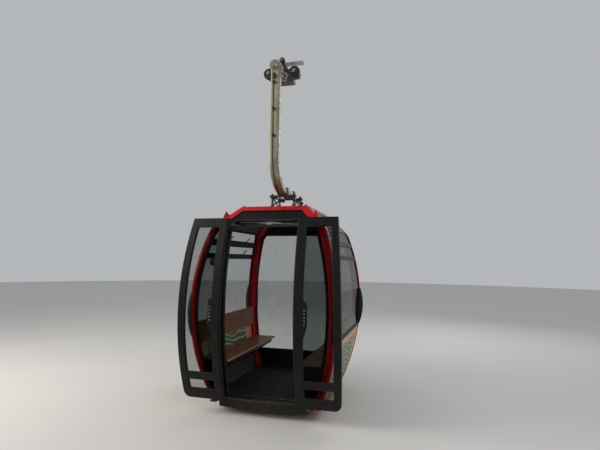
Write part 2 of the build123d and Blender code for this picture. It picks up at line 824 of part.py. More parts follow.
# Axle that carries the hanger's hub, with its collar and nut
hub_face = -arm_y + hub_length / 2
axle_end = hub_face + 3 + axle_collar[1]
with BuildPart() as hanger_axle:
    for radius, start, end in (
        (axle_flange[0], beam_front, beam_front + axle_flange[1]),
        (axle_radius, beam_front, axle_end),
        (axle_collar[0], hub_face + 3, axle_end),
    ):
        with BuildSketch(Plane.XZ.offset(start)):
            with Locations((0, pivot_z)):
                Circle(radius)
        extrude(amount=end - start)
    with BuildSketch(Plane.XZ.offset(axle_end)):
        with Locations((0, pivot_z)):
            RegularPolygon(axle_nut_radius, 6)
    extrude(amount=2 * axle_nut)
keep(hanger_axle.part, "hanger_axle")

with BuildPart() as drive_plate:
    with BuildSketch(Plane.XY.offset(jaw_pivot[1] + jaw_hub_radius)):
        with Locations((-plate_post_x, jaw_pivot[0]), (plate_post_x, jaw_pivot[0])):
            Rectangle(*plate_post)
    extrude(amount=drive_plate_low - jaw_pivot[1] - jaw_hub_radius)
    with BuildSketch(Plane.XY.offset(drive_plate_low)):
        with Locations((0, drive_plate_y)):
            RectangleRounded(drive_plate_size[0], drive_plate_size[1], 30)
    extrude(amount=drive_plate_size[2])
    add(grip_body.part, mode=Mode.SUBTRACT)
keep(drive_plate.part, "drive_plate")

# Moving jaw: hook over the rope and hub on the pin, then a narrow lever to its roller
lever_tip = (-lever_reach, lever_height)
with BuildPart() as jaw:
    with BuildSketch(Plane.YZ):
        Circle(jaw_rim)
        add(block(-jaw_rim, moving_jaw_bottom, jaw_rim, jaw_rim), mode=Mode.INTERSECT)
        with Locations(jaw_pivot):
            Circle(jaw_hub_radius)
        add(block(*jaw_bridge))
        Circle(rope_radius, mode=Mode.SUBTRACT)
        with Locations(jaw_pivot):
            Circle(jaw_pin_radius + axle_clearance, mode=Mode.SUBTRACT)
    extrude(amount=jaw_half, both=True)
    with BuildSketch(Plane.YZ):
        with BuildLine():
            Polyline(
                (jaw_pivot[0] + lever_root[0][0], jaw_pivot[1] + lever_root[0][1]),
                (lever_tip[0], lever_tip[1] + lever_tip_half),
                (lever_tip[0], lever_tip[1] - lever_tip_half),
                (jaw_pivot[0] + lever_root[1][0], jaw_pivot[1] + lever_root[1][1]),
                close=True,
            )
        make_face()
        with Locations(jaw_pivot):
            Circle(jaw_pin_radius + axle_clearance, mode=Mode.SUBTRACT)
    extrude(amount=lever_half, both=True)
    for radius, start, length in (
        (lever_eye_radius, lever_reach - lever_half, lever_half),
        (lever_axle_radius, lever_reach, lever_roller_width + lever_axle_radius),
        (lever_nut[0], lever_reach + lever_roller_width + 5, lever_nut[1]),
    ):
        with BuildSketch(Plane.XZ.offset(start)):
            with Locations((0, lever_tip[1])):
                Circle(radius)
        extrude(amount=length)
keep(jaw.part, "jaw")

with BuildPart() as lever_roller:
    with BuildSketch(Plane.XZ.offset(lever_reach + 3)):
        with Locations((0, lever_tip[1])):
            Circle(lever_roller_radius)
            Circle(lever_axle_radius + axle_clearance, mode=Mode.SUBTRACT)
    extrude(amount=lever_roller_width)
keep(lever_roller.part, "lever_roller")

# Running rollers, dished on both faces, that carry the grip along the station's rail
for side, sign in SIDES:
    with BuildPart() as roller:
        with BuildSketch(Plane.XZ.offset(roller_y - roller_width / 2)):
            with Locations((sign * roller_x, roller_z)):
                Circle(roller_radius)
                Circle(axle_small + axle_clearance, mode=Mode.SUBTRACT)
        extrude(amount=roller_width)
        rims = roller.edges().filter_by(GeomType.CIRCLE).group_by(SortBy.LENGTH)[-1]
        fillet(rims, radius=roller_edge)
        recess_inner, recess_outer, recess_depth = roller_recess
        for start in (-roller_width / 2, roller_width / 2 - recess_depth):
            with BuildSketch(Plane.XZ.offset(roller_y + start)):
                with Locations((sign * roller_x, roller_z)):
                    Circle(recess_outer)
                    Circle(recess_inner, mode=Mode.SUBTRACT)
            extrude(amount=recess_depth, mode=Mode.SUBTRACT)
    keep(roller.part, f"roller_{side}")
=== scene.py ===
import itertools
import math
import random

import bmesh
import bpy
from mathutils import Matrix, Vector


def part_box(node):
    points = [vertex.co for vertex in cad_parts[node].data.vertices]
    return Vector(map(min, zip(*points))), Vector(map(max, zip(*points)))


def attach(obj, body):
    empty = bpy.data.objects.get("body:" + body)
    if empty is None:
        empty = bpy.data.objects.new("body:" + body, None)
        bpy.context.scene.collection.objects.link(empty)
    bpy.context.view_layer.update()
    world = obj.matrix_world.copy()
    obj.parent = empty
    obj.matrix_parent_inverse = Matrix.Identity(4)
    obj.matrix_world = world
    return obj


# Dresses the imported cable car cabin: a finish for every CAD node, and the small seals,
# screws and fittings that the CAD leaves out. Metres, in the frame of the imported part.
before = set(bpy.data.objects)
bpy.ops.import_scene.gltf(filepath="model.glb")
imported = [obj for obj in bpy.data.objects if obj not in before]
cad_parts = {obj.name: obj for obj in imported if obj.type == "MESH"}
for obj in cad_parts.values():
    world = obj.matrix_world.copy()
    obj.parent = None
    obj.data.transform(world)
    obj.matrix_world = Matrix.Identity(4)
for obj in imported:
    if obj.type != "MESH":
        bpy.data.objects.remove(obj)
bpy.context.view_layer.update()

# The body's driving sizes; every height is taken from the underside of its floor
body_low = 0.050
floor_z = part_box("floor_ring")[0].z - body_low
waist_height = 1.080
bow_radius = 2.700
waist_x = 0.830
waist_y = 0.930
SIDES = (("left", -1), ("right", 1))
UP = Vector((0, 0, 1))
DOOR = Vector((0, -1, 0))
# Seeded, so that the weld beads come out the same each time
chance = random.Random(7)
# A mitre stretches a section no further than one over this
least_mitre = 0.35
# Edges sharper than this stay sharp, and the rest are shaded smooth
crease = math.radians(35)


def bow(waist, height, out=0.0):
    """Half the body's width at a height, a distance outside its skin."""
    rise = height - waist_height
    return waist - bow_radius + math.sqrt((bow_radius + out) ** 2 - rise**2)


def level(height):
    """Z of a height above the underside of the floor."""
    return floor_z + height


def linear(code):
    """Linear colour of an sRGB hex value."""
    parts = [int(code[i : i + 2], 16) / 255 for i in (1, 3, 5)]
    return [c / 12.92 if c <= 0.04045 else ((c + 0.055) / 1.055) ** 2.4 for c in parts] + [1.0]


def add(tree, kind, sockets=None, **settings):
    """Add a shader node with its settings, and fill its sockets with values or links."""
    made = tree.nodes.new("ShaderNode" + kind)
    for name, value in settings.items():
        setattr(made, name, value)
    for socket, value in (sockets or {}).items():
        if isinstance(value, bpy.types.NodeSocket):
            tree.links.new(value, made.inputs[socket])
        else:
            made.inputs[socket].default_value = value
    return made


def per_mm(size):
    """Scale of a pattern in metre coordinates whose features are this many millimetres apart."""
    return 1000.0 / size


class Finish:
    """A material under construction: its tree, its shader and its coordinates."""

    def __init__(self, name, **sockets):
        self.material = bpy.data.materials.new(name)
        self.material.use_nodes = True
        self.tree = self.material.node_tree
        self.shader = self.tree.nodes["Principled BSDF"]
        self.place = add(self.tree, "TexCoord").outputs["Object"]
        for socket, value in sockets.items():
            self.shader.inputs[socket.replace("_", " ")].default_value = value

    def noise(self, size, detail=3.0, stretch=(1, 1, 1), low=0.35, high=0.65, to=(0.0, 1.0)):
        """Noise with features of that many millimetres, spread between two values."""
        scaled = add(self.tree, "Mapping", {"Vector": self.place, "Scale": stretch})
        cloud = add(
            self.tree,
            "TexNoise",
            {"Vector": scaled.outputs[0], "Scale": per_mm(size), "Detail": detail},
        )
        spread = {"Value": cloud.outputs[0], 1: low, 2: high, 3: to[0], 4: to[1]}
        return add(self.tree, "MapRange", spread).outputs[0]

    def math(self, operation, first, second=0.0, clamp=True):
        """One arithmetic step between two values."""
        sockets = {0: first, 1: second}
        return add(self.tree, "Math", sockets, operation=operation, use_clamp=clamp).outputs[0]

    def mix(self, factor, first, second):
        """A colour between two colours."""
        sockets = {0: factor, 6: first, 7: second}
        return add(self.tree, "Mix", sockets, data_type="RGBA").outputs[2]

    def height_fade(self, full, none):
        """1 at one height above the floor's underside, falling to 0 at another."""
        z = add(self.tree, "SeparateXYZ", {0: self.place}).outputs["Z"]
        spread = {"Value": z, 1: level(full), 2: level(none), 3: 1.0, 4: 0.0}
        return add(self.tree, "MapRange", spread).outputs[0]

    def bump(self, height, depth_mm):
        """Relief of that many millimetres on the surface."""
        sockets = {"Height": height, "Distance": depth_mm / 1000, "Strength": 1.0}
        relief = add(self.tree, "Bump", sockets).outputs[0]
        self.set("Normal", relief)

    def set(self, socket, value):
        """Link or set one of the shader's sockets."""
        if isinstance(value, bpy.types.NodeSocket):
            self.tree.links.new(value, self.shader.inputs[socket])
        else:
            self.shader.inputs[socket].default_value = value


def sprayed_red_enamel():
    """Two-pack enamel sprayed on steel: a deep even gloss, faint orange peel, dust low down."""
    finish = Finish(
        "sprayed_red_enamel", Coat_Weight=0.22, Coat_Roughness=0.12, Specular_IOR_Level=0.15
    )
    tone = finish.noise(240)
    red = finish.mix(tone, linear("#a1070b"), linear("#bb0c10"))
    dust = finish.math("MULTIPLY", finish.height_fade(0.0, 0.5), finish.noise(35, detail=6))
    dust = finish.math("MULTIPLY", dust, 0.22)
    finish.set("Base Color", finish.mix(dust, red, linear("#7a5a4c")))
    finish.set("Roughness", finish.noise(120, detail=4, to=(0.27, 0.33)))
    # Orange peel is about 2 mm across; drawn at 7 mm so that it shows at all
    finish.bump(finish.noise(7, detail=1), 0.02)
    return finish.material


def black_gel_coat():
    """Glass-fibre wall moulded in a polished tool: satin black with a slight waviness."""
    finish = Finish("moulded_black_gel_coat", Specular_IOR_Level=0.15)
    tone = finish.noise(180)
    finish.set("Base Color", finish.mix(tone, linear("#060708"), linear("#0b0c0e")))
    finish.set("Roughness", finish.noise(90, detail=4, to=(0.4, 0.47)))
    finish.bump(finish.noise(60, detail=1), 0.04)
    return finish.material


def black_powder_coat():
    """Powder-coated aluminium extrusion: greenish black, fine even texture, dusty low down."""
    finish = Finish("powder_coated_black_aluminium", Specular_IOR_Level=0.18)
    tone = finish.noise(160, detail=4)
    black = finish.mix(tone, linear("#090a09"), linear("#0f110f"))
    dust = finish.math("MULTIPLY", finish.height_fade(0.05, 0.7), finish.noise(40, detail=7))
    dust = finish.math("MULTIPLY", dust, 0.22)
    finish.set("Base Color", finish.mix(dust, black, linear("#47453f")))
    finish.set("Roughness", finish.noise(30, detail=6, to=(0.38, 0.54)))
    # Powder texture is about 0.5 mm; drawn at 3 mm
    finish.bump(finish.noise(3, detail=2), 0.04)
    return finish.material


def moulded_rubber(name="moulded_epdm_rubber", dark="#121212", light="#1f1f1e"):
    """EPDM rubber moulded to shape: dull black with a bloom of grey and fine pores."""
    finish = Finish(name, Specular_IOR_Level=0.35)
    bloom = finish.noise(55, detail=6)
    finish.set("Base Color", finish.mix(bloom, linear(dark), linear(light)))
    finish.set("Roughness", finish.noise(25, detail=5, to=(0.52, 0.75)))
    finish.bump(finish.noise(2.5, detail=3), 0.08)
    return finish.material


def tinted_acrylic(name, tint):
    """Cast acrylic pane, tinted through: clear grey, mirror gloss, faint smears of wiping."""
    finish = Finish(name, IOR=1.49, Specular_IOR_Level=0.9)
    finish.set("Base Color", linear("#0b0c0c"))
    finish.set("Roughness", finish.noise(60, detail=8, low=0.5, high=0.8, to=(0.015, 0.06)))
    smears = finish.math("MULTIPLY", finish.noise(120, detail=5), 0.05)
    tinted = finish.mix(smears, linear(tint), linear("#808080"))
    see = add(finish.tree, "BsdfTransparent", {"Color": tinted}).outputs[0]
    # A pane shines where it is seen at a slant, and square on only a thin haze is left
    graze = add(finish.tree, "LayerWeight", {"Blend": 0.5}).outputs["Facing"]
    shine = finish.math("SUBTRACT", finish.math("POWER", graze, 5.0), 0.02)
    haze = finish.noise(120, detail=5, to=(0.006, 0.0096))
    veil = finish.math("ADD", shine, haze)
    blend = add(finish.tree, "MixShader", {0: veil, 1: see, 2: finish.shader.outputs[0]})
    output = finish.tree.nodes["Material Output"]
    finish.tree.links.new(blend.outputs[0], output.inputs["Surface"])
    return finish.material


def printed_film():
    """Film printed in greens, glued under gloss: terraces as wavy rows, with a sandy border."""
    finish = Finish(
        "printed_film_on_panel", Roughness=0.42, Specular_IOR_Level=0.28, Coat_Weight=0.08
    )
    parts = add(finish.tree, "SeparateXYZ", {0: finish.place})
    drift = finish.noise(420, detail=1, low=0.0, high=1.0, to=(-0.16, 0.16))
    warped = finish.math("ADD", parts.outputs["Z"], drift, clamp=False)
    # Terraces 62 mm high, each with a pale path on its crest and shade at its foot
    rows = finish.math("FRACT", finish.math("MULTIPLY", warped, per_mm(62), clamp=False))
    leaves = finish.noise(11, detail=4)
    field = finish.mix(leaves, linear("#24451c"), linear("#4f7a33"))
    field = finish.mix(finish.math("LESS_THAN", rows, 0.26), field, linear("#11290f"))
    field = finish.mix(finish.math("GREATER_THAN", rows, 0.8), field, linear("#c9cba0"))
    # Shrubs about 85 mm apart, with ragged edges
    shrubs = add(finish.tree, "TexVoronoi", {"Vector": finish.place, "Scale": per_mm(85)})
    ragged = finish.noise(16, detail=3, to=(0.12, 0.28))
    shrub = finish.math("LESS_THAN", shrubs.outputs["Distance"], ragged)
    field = finish.mix(shrub, field, linear("#7fa046"))
    sand = finish.mix(finish.noise(140, detail=7), linear("#c98a4e"), linear("#d6a068"))
    # The field narrows towards its top, and sand fills what is left
    field_top = 0.66
    half_at_top = 0.57
    drop = finish.math("SUBTRACT", level(field_top), parts.outputs["Z"], clamp=False)
    widening = finish.math("MULTIPLY", drop, 0.13, clamp=False)
    edge = finish.math("ADD", widening, half_at_top, clamp=False)
    across = finish.math("ABSOLUTE", parts.outputs["Y"])
    beside = finish.math("GREATER_THAN", finish.math("SUBTRACT", across, edge, clamp=False), 0.0)
    above = finish.math("LESS_THAN", drop, 0.0)
    border = finish.math("MAXIMUM", beside, above)
    finish.set("Base Color", finish.mix(border, field, sand))
    return finish.material


def textured_floor_plate():
    """Aluminium plate with a sprayed anti-slip coat: dark, gritty, scuffed by feet."""
    finish = Finish("sprayed_antislip_plate", Specular_IOR_Level=0.18)
    scuff = finish.noise(50, detail=8, stretch=(1, 0.3, 1))
    finish.set("Base Color", finish.mix(scuff, linear("#17140f"), linear("#2a251b")))
    finish.set("Roughness", finish.noise(12, detail=4, to=(0.42, 0.62)))
    finish.bump(finish.noise(4, detail=3), 0.25)
    return finish.material


def ribbed_rubber_mat():
    """Rubber mat with extruded ribs that run towards the door: dusty grey-brown black."""
    finish = Finish("extruded_ribbed_rubber", Specular_IOR_Level=0.15)
    dust = finish.noise(90, detail=7)
    finish.set("Base Color", finish.mix(dust, linear("#14120c"), linear("#262117")))
    finish.set("Roughness", finish.noise(30, detail=4, to=(0.55, 0.8)))
    # Ribs are 6 mm apart; drawn at 12 mm so that they show
    ribs = add(
        finish.tree,
        "TexWave",
        {"Vector": finish.place, "Scale": per_mm(12) / math.tau, "Distortion": 0.0},
        bands_direction="X",
    )
    finish.bump(ribs.outputs["Fac"], 1.2)
    return finish.material


def stained_beech_ply():
    """Beech plywood pressed to shape, stained brown and lacquered: satin, with long fine grain."""
    finish = Finish("stained_lacquered_beech_ply", Specular_IOR_Level=0.22)
    # Beech grain is about 2 mm wide and runs along the bench
    grain = finish.noise(9, detail=5, stretch=(1, 0.05, 1))
    cloud = finish.math("MULTIPLY", finish.noise(170, detail=3), 0.4)
    brown = finish.mix(grain, linear("#4f2a15"), linear("#7c4524"))
    finish.set("Base Color", finish.mix(cloud, brown, linear("#8a512b")))
    finish.set("Roughness", finish.noise(35, detail=5, to=(0.34, 0.5)))
    finish.bump(grain, 0.05)
    return finish.material


def beech_edge_band():
    """Bare edge of the beech plywood, sanded round and lacquered: pale plies, rubbed by legs."""
    finish = Finish("lacquered_plywood_edge", Specular_IOR_Level=0.35)
    # Plies are 1.5 mm thick; drawn at 4 mm
    plies = finish.noise(4, detail=1, stretch=(0.05, 0.02, 1))
    finish.set("Base Color", finish.mix(plies, linear("#b39572"), linear("#8f6d4c")))
    finish.set("Roughness", finish.noise(40, detail=4, to=(0.35, 0.55)))
    return finish.material


def grained_lining():
    """Thermoformed ABS lining: matt near-black with a leather-like grain."""
    finish = Finish("thermoformed_abs_lining", Specular_IOR_Level=0.25)
    finish.set("Base Color", finish.mix(finish.noise(150), linear("#1d1e20"), linear("#28292b")))
    finish.set("Roughness", finish.noise(40, to=(0.5, 0.65)))
    grain = add(finish.tree, "TexVoronoi", {"Vector": finish.place, "Scale": per_mm(4)})
    finish.bump(grain.outputs["Distance"], 0.2)
    return finish.material


def painted_dark_steel():
    """Blast-cleaned steel brushed with grey-brown paint, chipped here and there to its primer."""
    finish = Finish("painted_dark_steel", Specular_IOR_Level=0.5)
    tone = finish.noise(70, detail=5)
    paint = finish.mix(tone, linear("#1f1d1c"), linear("#2e2b28"))
    chips = finish.noise(22, detail=9, low=0.7, high=0.74)
    finish.set("Base Color", finish.mix(chips, paint, linear("#4c4843")))
    finish.set("Roughness", finish.noise(30, detail=4, to=(0.4, 0.6)))
    finish.bump(finish.noise(14, detail=5), 0.3)
    return finish.material


def galvanised_steel():
    """Hot-dip galvanised steel, weathered: khaki grey, long streaks, drips, dull spangle."""
    finish = Finish("weathered_galvanised_steel", Metallic=0.55)
    streaks = finish.noise(40, detail=7, stretch=(1, 1, 0.07))
    base = finish.mix(streaks, linear("#77745f"), linear("#a5a28a"))
    dirt = finish.noise(90, detail=6, stretch=(1, 1, 0.25), low=0.5, high=0.72)
    base = finish.mix(finish.math("MULTIPLY", dirt, 0.6), base, linear("#4f4a3c"))
    crystals = add(finish.tree, "TexVoronoi", {"Vector": finish.place, "Scale": per_mm(14)})
    spangle = finish.math("MULTIPLY", crystals.outputs["Distance"], 0.25)
    finish.set("Base Color", finish.mix(spangle, base, linear("#bdbba6")))
    finish.set("Roughness", finish.noise(35, detail=5, to=(0.42, 0.62)))
    finish.bump(finish.noise(25, detail=4), 0.3)
    return finish.material


def sand_cast_iron():
    """Ductile iron cast in sand and painted thin grey: pebbly skin, greasy in patches."""
    finish = Finish("sand_cast_iron", Metallic=0.2, Specular_IOR_Level=0.5)
    grease = finish.noise(60, detail=6)
    finish.set("Base Color", finish.mix(grease, linear("#45443f"), linear("#6d6b62")))
    finish.set("Roughness", finish.noise(30, detail=5, to=(0.36, 0.62)))
    finish.bump(finish.noise(5, detail=4), 0.5)
    return finish.material


def turned_steel():
    """Steel turned on a lathe, then oiled: bright, with rings too fine to see and brown stains."""
    finish = Finish("turned_oiled_steel", Metallic=1.0)
    stain = finish.noise(30, detail=6)
    finish.set("Base Color", finish.mix(stain, linear("#8f8c86"), linear("#b4b2ad")))
    finish.set("Roughness", finish.noise(15, detail=4, to=(0.22, 0.4)))
    return finish.material


def anodised_aluminium():
    """Extruded aluminium, etched and anodised: silver satin with faint drawing lines."""
    finish = Finish("anodised_aluminium", Metallic=1.0)
    lines = finish.noise(3, detail=3, stretch=(0.03, 1, 1))
    finish.set("Base Color", finish.mix(lines, linear("#b0b2b2"), linear("#d0d2d1")))
    finish.set("Roughness", finish.noise(40, detail=4, to=(0.42, 0.54)))
    return finish.material


def rolled_stainless():
    """Stainless strip, cold-rolled and trodden: grey satin, scratched lengthwise."""
    finish = Finish("rolled_stainless_steel", Metallic=1.0)
    scratches = finish.noise(5, detail=6, stretch=(0.04, 1, 1))
    finish.set("Base Color", finish.mix(scratches, linear("#8d8b86"), linear("#b7b5b0")))
    finish.set("Roughness", finish.noise(25, detail=5, to=(0.28, 0.48)))
    return finish.material


def pale_floor():
    """Smooth pale concrete of the studio."""
    finish = Finish("pale_floor")
    tone = finish.noise(1500, detail=8)
    finish.set("Base Color", finish.mix(tone, linear("#cfcdca"), linear("#d2d0cd")))
    finish.set("Roughness", 0.7)
    return finish.material


red = sprayed_red_enamel()
gel_coat = black_gel_coat()
powder_black = black_powder_coat()
rubber = moulded_rubber()
pane = tinted_acrylic("tinted_acrylic", "#e2e4e3")
leaf_pane = tinted_acrylic("tinted_leaf_acrylic", "#dadcdb")
film = printed_film()
floor_plate = textured_floor_plate()
mat_rubber = ribbed_rubber_mat()
ply = stained_beech_ply()
lining = grained_lining()
dark_steel = painted_dark_steel()
galvanised = galvanised_steel()
iron = sand_cast_iron()
steel = turned_steel()
aluminium = anodised_aluminium()
stainless = rolled_stainless()
ply_edge = beech_edge_band()
roller_tyre = moulded_rubber("cast_polyurethane_tyre", "#171614", "#2a2825")

# Which finish each CAD node takes, by the start of its name: the longest that fits
FINISHES = {
    "post_bumpers": rubber,
    "post_": red,
    "floor_ring": red,
    "roof_ring": red,
    "roof_panel": red,
    "end_frame": gel_coat,
    "end_glass": pane,
    "vent_glass": pane,
    "end_panel": film,
    "back_frame": gel_coat,
    "back_glass": pane,
    "door_portal": gel_coat,
    "side_glass": pane,
    "leaf_frame": powder_black,
    "leaf_glass": leaf_pane,
    "leaf_arms": dark_steel,
    "floor_pan": floor_plate,
    "floor_mat": mat_rubber,
    "threshold": floor_plate,
    "bench_seat": ply,
    "bench_bracket": dark_steel,
    "backrest_stays": dark_steel,
    "backrest": ply,
    "ceiling": lining,
    "door_rail": dark_steel,
    "rail_bracket": aluminium,
    "buffers": rubber,
    "mast": dark_steel,
    "hanger_arm": galvanised,
    "hanger_axle": steel,
    "grip_body": iron,
    "jaw_pin": steel,
    "drive_plate": aluminium,
    "jaw": iron,
    "control_cable": moulded_rubber("extruded_cable_sheath", "#0d0d0d", "#191918"),
    "cable_clips": dark_steel,
    "lever_roller": roller_tyre,
    "roller_": roller_tyre,
}
for name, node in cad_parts.items():
    key = max((k for k in FINISHES if name.startswith(k)), key=len)
    node.data.materials.clear()
    node.data.materials.append(FINISHES[key])


def piece(name, mesh, material, body):
    """Turn a bmesh into a piece of the object that rides on a body."""
    bmesh.ops.recalc_face_normals(mesh, faces=mesh.faces)
    data = bpy.data.meshes.new(name)
    mesh.to_mesh(data)
    mesh.free()
    data.shade_smooth()
    data.set_sharp_from_angle(angle=crease)
    data.materials.append(material)
    made = bpy.data.objects.new(name, data)
    bpy.context.scene.collection.objects.link(made)
    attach(made, body)


def rims(name, facing):
    """The closed edges round a CAD node's faces that look one way, as lists of points."""
    mesh = bmesh.new()
    mesh.from_mesh(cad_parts[name].data)
    bmesh.ops.remove_doubles(mesh, verts=mesh.verts, dist=1e-5)
    mesh.normal_update()
    # Within 60 degrees of that way
    seen = {f for f in mesh.faces if f.normal.dot(facing) > 0.5}
    border = [e for e in mesh.edges if sum(f in seen for f in e.link_faces) == 1]
    ways = {}
    for edge in border:
        for vertex in edge.verts:
            ways.setdefault(vertex, []).append(edge)
    loops = []
    left = set(border)
    while left:
        edge = next(e for e in border if e in left)
        start, here = edge.verts
        loop = [start.co.copy()]
        left.discard(edge)
        while here != start:
            loop.append(here.co.copy())
            edge = next(e for e in ways[here] if e in left)
            left.discard(edge)
            here = edge.other_vert(here)
        loops.append(loop)
    mesh.free()
    return loops


def inset(loop, facing, distance):
    """A closed loop drawn in towards its inside, mitred, as seen from where it faces."""
    area = sum((a.cross(b) for a, b in zip(loop, loop[1:] + loop[:1])), Vector())
    loop = loop if area.dot(facing) > 0 else loop[::-1]
    moved = []
    for before, here, after in zip(loop[-1:] + loop[:-1], loop, loop[1:] + loop[:1]):
        first = (here - before).normalized()
        second = (after - here).normalized()
        along = (first + second).normalized()
        inward = facing.cross(along).normalized()
        moved.append(here + inward * distance / max(least_mitre, along.dot(first)))
    return moved


def stretch(loop, inside):
    """The run of a loop's points that passes a test, in order."""
    start = next(i for i, point in enumerate(loop) if not inside(point))
    return [point for point in loop[start:] + loop[:start] if inside(point)]


def steps(low, high, pitch):
    """Evenly spaced values from low to high, about a pitch apart."""
    count = max(1, round(abs(high - low) / pitch))
    return [low + (high - low) * i / count for i in range(count + 1)]


def on_wall(outward, across, height, out=0.0):
    """A point on a bowed wall, and the way that the wall faces there."""
    outward = Vector(outward)
    waist, along = (waist_x, (0, 1, 0)) if outward.x else (waist_y, (1, 0, 0))
    slope = math.asin((height - waist_height) / (bow_radius + out))
    normal = outward * math.cos(slope) + Vector((0, 0, math.sin(slope)))
    place = outward * bow(waist, height, out) + Vector(along) * across
    return place + Vector((0, 0, level(height))), normal


def slab(mesh, low, high, edge=0.002, turn=None):
    """A block between two corners with its edges eased, moved by a matrix if one is given."""
    turn = turn or Matrix()
    corners = []
    for sides in itertools.product((0, 1), repeat=3):
        for whole in range(3):
            ease = [0 if axis == whole else edge for axis in range(3)]
            place = [high[i] - ease[i] if sides[i] else low[i] + ease[i] for i in range(3)]
            corners.append(mesh.verts.new(turn @ Vector(place)))
    bmesh.ops.convex_hull(mesh, input=corners)


def set_at(place, up, along):
    """The matrix that stands a form at a place, its Z along up and its X nearest to along."""
    up = Vector(up).normalized()
    side = up.cross(Vector(along)).normalized()
    turn = Matrix((side.cross(up), side, up)).transposed().to_4x4()
    turn.translation = Vector(place)
    return turn


def skin(mesh, here, there):
    """The faces between two rings of vertices."""
    for k in range(len(here)):
        n = (k + 1) % len(here)
        mesh.faces.new((here[k], here[n], there[n], there[k]))


def sweep(mesh, points, facing, across, out, sides=8, closed=True, rough=0.0):
    """Sweep an oval section along points, mitred at the corners, its short way along facing."""
    facing = Vector(facing).normalized()
    count = len(points)
    rings = []
    for i, point in enumerate(points):
        before = points[i - 1] if closed or i else point
        after = points[(i + 1) % count] if closed or i < count - 1 else point
        first = (point - before).normalized() if point != before else (after - point).normalized()
        second = (after - point).normalized() if after != point else first
        along = (first + second).normalized()
        side = along.cross(facing).normalized()
        up = side.cross(along)
        spread = 1 / max(least_mitre, abs(along.dot(first)))
        swell = 1 + rough * chance.uniform(-1, 1)
        ring = []
        for k in range(sides):
            angle = math.tau * (k + 0.5) / sides
            offset = side * across * spread * math.cos(angle) + up * out * math.sin(angle)
            ring.append(mesh.verts.new(point + offset * swell))
        rings.append(ring)
    last = count if closed else count - 1
    for i in range(last):
        skin(mesh, rings[i], rings[(i + 1) % count])
    if not closed:
        mesh.faces.new(rings[0])
        mesh.faces.new(reversed(rings[-1]))


def lathe(mesh, base, axis, profile, sides=16):
    """Turn (radius, distance along the axis) pairs round an axis into a closed form."""
    axis = Vector(axis).normalized()
    side = axis.orthogonal().normalized()
    up = axis.cross(side)
    turns = [math.tau * k / sides for k in range(sides)]
    spokes = [side * math.cos(turn) + up * math.sin(turn) for turn in turns]
    rings = []
    for radius, along in profile:
        centre = Vector(base) + axis * along
        rings.append([mesh.verts.new(centre + spoke * radius) for spoke in spokes])
    for here, there in zip(rings, rings[1:]):
        skin(mesh, here, there)
    mesh.faces.new(reversed(rings[0]))
    mesh.faces.new(rings[-1])


def screw(mesh, place, axis, radius):
    """A pan-head screw with a socket."""
    shape = ((1.0, -0.2), (1.0, 0.25), (0.78, 0.55), (0.42, 0.6), (0.34, 0.3))
    lathe(mesh, place, axis, [(radius * r, radius * up) for r, up in shape], sides=12)


def bolt(mesh, place, axis, size):
    """A hexagon nut on its washer, with the end of its thread."""
    washer = ((1.15, 0), (1.15, 0.14), (1.05, 0.2))
    nut = ((0.84, 0.2), (0.94, 0.3), (0.94, 0.8), (0.84, 0.9))
    thread = ((0.5, 0.9), (0.5, 1.15), (0.42, 1.25))
    for shape, sides in ((washer, 16), (nut, 6), (thread, 12)):
        lathe(mesh, place, axis, [(size * r, size * up) for r, up in shape], sides=sides)


def hex_nut(mesh, place, axis, radius, height, ease):
    """A hexagon block whose ends are eased, by one distance inwards and one along."""
    inwards, along = ease
    end = radius - inwards
    shape = ((end, 0), (radius, along), (radius, height - along), (end, height))
    lathe(mesh, place, axis, shape, sides=6)


# Rubber gaskets round every pane, outside and inside
seal_lift = 0.004
wall_panes = [("back_glass", -DOOR), ("side_glass", DOOR)]
for side, sign in SIDES:
    outward = Vector((sign, 0, 0))
    wall_panes += [(f"end_glass_{side}", outward), (f"vent_glass_{side}", outward)]
gaskets = bmesh.new()
for node, outward in wall_panes:
    for facing in (outward, -outward):
        for loop in rims(node, facing):
            sweep(gaskets, [p + facing * seal_lift for p in loop], facing, 0.007, 0.005)
piece("pane_gaskets", gaskets, rubber, "carrier")

leaf_edge_x = 0.406
for side, sign in SIDES:
    leaf_seals = bmesh.new()
    for facing in (DOOR, -DOOR):
        for loop in rims(f"leaf_glass_{side}", facing):
            sweep(leaf_seals, [p + facing * seal_lift for p in loop], facing, 0.006, 0.005)
    # A hollow bulb seal down the edge where the two leaves meet
    bulb = [
        Vector((sign * leaf_edge_x, -bow(waist_y, height, 0.084), level(height)))
        for height in steps(0.125, 2.060, 0.06)
    ]
    sweep(leaf_seals, bulb, DOOR, 0.009, 0.013, closed=False)
    # A lip all round the inner face, which presses on the portal when the door is shut
    inner_edge = max(rims(f"leaf_frame_{side}", -DOOR), key=len)
    lip = [p - DOOR * 0.003 for p in inset(inner_edge, -DOOR, 0.02)]
    sweep(leaf_seals, lip, DOOR, 0.008, 0.006)
    piece(f"leaf_seals_{side}", leaf_seals, rubber, "carrier")

# Rubber profile round the doorway's edge
doorway_half = 0.4055
doorway_top = 2.061
jamb = max(rims("door_portal", DOOR), key=lambda loop: max(p.z for p in loop))
doorway = stretch(jamb, lambda p: abs(p.x) < doorway_half and p.z < level(doorway_top))
doorway_seal = bmesh.new()
profile = [p - DOOR * 0.011 for p in doorway]
sweep(doorway_seal, profile, DOOR, 0.010, 0.015, closed=False)
piece("doorway_seal", doorway_seal, rubber, "carrier")

